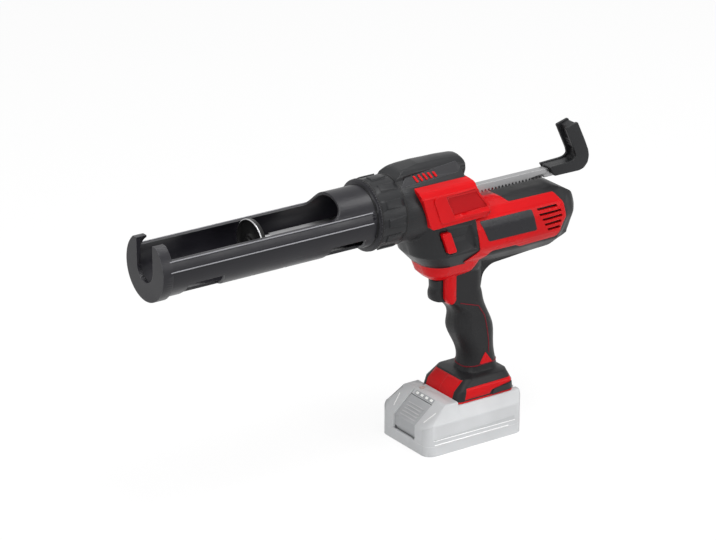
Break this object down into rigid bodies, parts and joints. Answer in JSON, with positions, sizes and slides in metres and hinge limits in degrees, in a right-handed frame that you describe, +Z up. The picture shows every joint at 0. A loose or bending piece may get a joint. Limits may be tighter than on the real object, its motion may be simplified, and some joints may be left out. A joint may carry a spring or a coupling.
{
  "type": "cordless caulking tool",
  "caption": "Pistol-grip battery tool that pushes a toothed rod and plate along an open trough to press sealant out of a cartridge, with a geared motor inside.",
  "frame": {"origin": "middle of the battery's base, on which the tool stands", "axes": "+X out of the muzzle along the rod, +Y to the tool's left, +Z up"},
  "size_m": [0.4852, 0.077, 0.2878],
  "materials": {
    "red_plastic": "satin red moulded plastic",
    "dark_plastic": "fine grained dark grey plastic",
    "dark_rubber": "soft black overmould",
    "holder_plastic": "dark grey plastic, slightly glossy",
    "rod_steel": "bright zinc plated steel",
    "gear_steel": "machined steel",
    "plate_steel": "pressed sheet steel",
    "bush_bronze": "sintered bronze",
    "gearbox_alloy": "cast alloy",
    "motor_steel": "drawn steel can",
    "magnet": "ferrite",
    "core_iron": "laminated iron core",
    "copper": "bare copper",
    "inner_plastic": "black moulded plastic",
    "pale_plastic": "pale grey moulded plastic",
    "latch_plastic": "mid grey plastic",
    "gauge_plastic": "tinted button",
    "cell_wrap": "wrapped cell",
    "screw_steel": "black screw"
  },
  "bodies": {
    "tool": {"housing_left": "red_plastic", "housing_right": "red_plastic", "overmould_left": "dark_rubber", "overmould_right": "dark_rubber", "front_housing": "dark_plastic", "front_rod_guide": "inner_plastic", "rear_rod_guide": "inner_plastic", "frame_plate_left": "plate_steel", "frame_plate_right": "plate_steel", "frame_spacers": "plate_steel", "drive_bushes": "bush_bronze", "lay_bushes": "bush_bronze", "output_bush": "bush_bronze", "gearbox_flange": "gearbox_alloy", "ring_gear": "gear_steel", "gearbox_rear_plate": "plate_steel", "motor_can": "motor_steel", "motor_magnets": "magnet", "motor_end_bell": "inner_plastic", "switch_module": "inner_plastic", "terminal_block": "inner_plastic", "terminal_blades": "copper", "case_screws": "screw_steel"},
    "holder": {"cartridge_holder": "holder_plastic"},
    "ring": {"locking_ring": "dark_plastic"},
    "rod": {"rack_rod": "rod_steel", "push_plate": "plate_steel", "push_plate_screw": "screw_steel", "pull_handle": "dark_plastic", "pull_handle_pin": "rod_steel"},
    "drive": {"drive_shaft": "gear_steel", "rack_pinion": "gear_steel", "spur_gear": "gear_steel"},
    "lay": {"lay_shaft": "gear_steel", "spur_pinion": "gear_steel", "bevel_gear": "gear_steel"},
    "output": {"bevel_pinion": "gear_steel", "planet_carrier": "gear_steel"},
    "planet_1": {"planet_gear_1": "gear_steel"},
    "planet_2": {"planet_gear_2": "gear_steel"},
    "planet_3": {"planet_gear_3": "gear_steel"},
    "rotor": {"motor_shaft": "gear_steel", "sun_gear": "gear_steel", "armature": "core_iron", "commutator": "copper", "cooling_fan": "inner_plastic"},
    "trigger": {"trigger": "dark_plastic"},
    "slider": {"side_slider": "red_plastic"},
    "battery": {"battery_lower_case": "pale_plastic", "battery_upper_case": "pale_plastic", "battery_cells": "cell_wrap"},
    "latch": {"battery_latch": "latch_plastic"},
    "gauge": {"gauge_button": "gauge_plastic"}
  },
  "joints": [
    {"name": "rod_slide", "type": "slide", "parent": "tool", "child": "rod", "axis": [1, 0, 0], "range_m": [-0.115, 0.085]},
    {"name": "drive_turn", "type": "hinge", "parent": "tool", "child": "drive", "pos_m": [0.03, 0, 0.22812], "axis": [0, 1, 0], "range_deg": [-755, 558]},
    {"name": "lay_turn", "type": "hinge", "parent": "tool", "child": "lay", "pos_m": [0.03, 0, 0.2025], "axis": [0, 1, 0], "range_deg": [-1200, 1623]},
    {"name": "output_turn", "type": "hinge", "parent": "tool", "child": "output", "pos_m": [0, 0, 0.2025], "axis": [1, 0, 0], "range_deg": [-1623, 1200]},
    {"name": "rotor_turn", "type": "hinge", "parent": "tool", "child": "rotor", "pos_m": [-0.05, 0, 0.2025], "axis": [1, 0, 0], "range_deg": [-7300, 5396]},
    {"name": "planet_1_turn", "type": "hinge", "parent": "output", "child": "planet_1", "pos_m": [-0.0115, 0.0108, 0.2025], "axis": [1, 0, 0], "range_deg": [-3358, 4543]},
    {"name": "planet_2_turn", "type": "hinge", "parent": "output", "child": "planet_2", "pos_m": [-0.0115, -0.0054, 0.21185], "axis": [1, 0, 0], "range_deg": [-3358, 4543]},
    {"name": "planet_3_turn", "type": "hinge", "parent": "output", "child": "planet_3", "pos_m": [-0.0115, -0.0054, 0.19315], "axis": [1, 0, 0], "range_deg": [-3358, 4543]},
    {"name": "trigger_pull", "type": "slide", "parent": "tool", "child": "trigger", "axis": [-1, 0, 0], "range_m": [0, 0.006], "stiffness_N_per_m": 900, "springref_m": -0.006},
    {"name": "release_slide", "type": "slide", "parent": "tool", "child": "slider", "axis": [-1, 0, 0], "range_m": [0, 0.016]},
    {"name": "holder_turn", "type": "hinge", "parent": "tool", "child": "holder", "pos_m": [0.1, 0, 0.241], "axis": [1, 0, 0], "continuous": true},
    {"name": "ring_turn", "type": "hinge", "parent": "tool", "child": "ring", "pos_m": [0.09, 0, 0.241], "axis": [1, 0, 0], "range_deg": [0, 40]},
    {"name": "battery_slide", "type": "slide", "parent": "tool", "child": "battery", "axis": [1, 0, 0], "range_m": [0, 0.07]},
    {"name": "latch_press", "type": "slide", "parent": "battery", "child": "latch", "axis": [0, 0, -1], "range_m": [0, 0.003], "stiffness_N_per_m": 1500, "springref_m": -0.003},
    {"name": "gauge_press", "type": "slide", "parent": "battery", "child": "gauge", "axis": [0, 0, -1], "range_m": [0, 0.0006], "stiffness_N_per_m": 1500, "springref_m": -0.0006}
  ],
  "couplings": [
    {"joint": "drive_turn", "follows": "rod_slide", "rad_per_m": 114.29},
    {"joint": "lay_turn", "follows": "rod_slide", "rad_per_m": -246.15},
    {"joint": "output_turn", "follows": "rod_slide", "rad_per_m": 246.15},
    {"joint": "rotor_turn", "follows": "rod_slide", "rad_per_m": 1107.7},
    {"joint": "planet_1_turn", "follows": "rod_slide", "rad_per_m": -689.23},
    {"joint": "planet_2_turn", "follows": "rod_slide", "rad_per_m": -689.23},
    {"joint": "planet_3_turn", "follows": "rod_slide", "rad_per_m": -689.23}
  ]
}
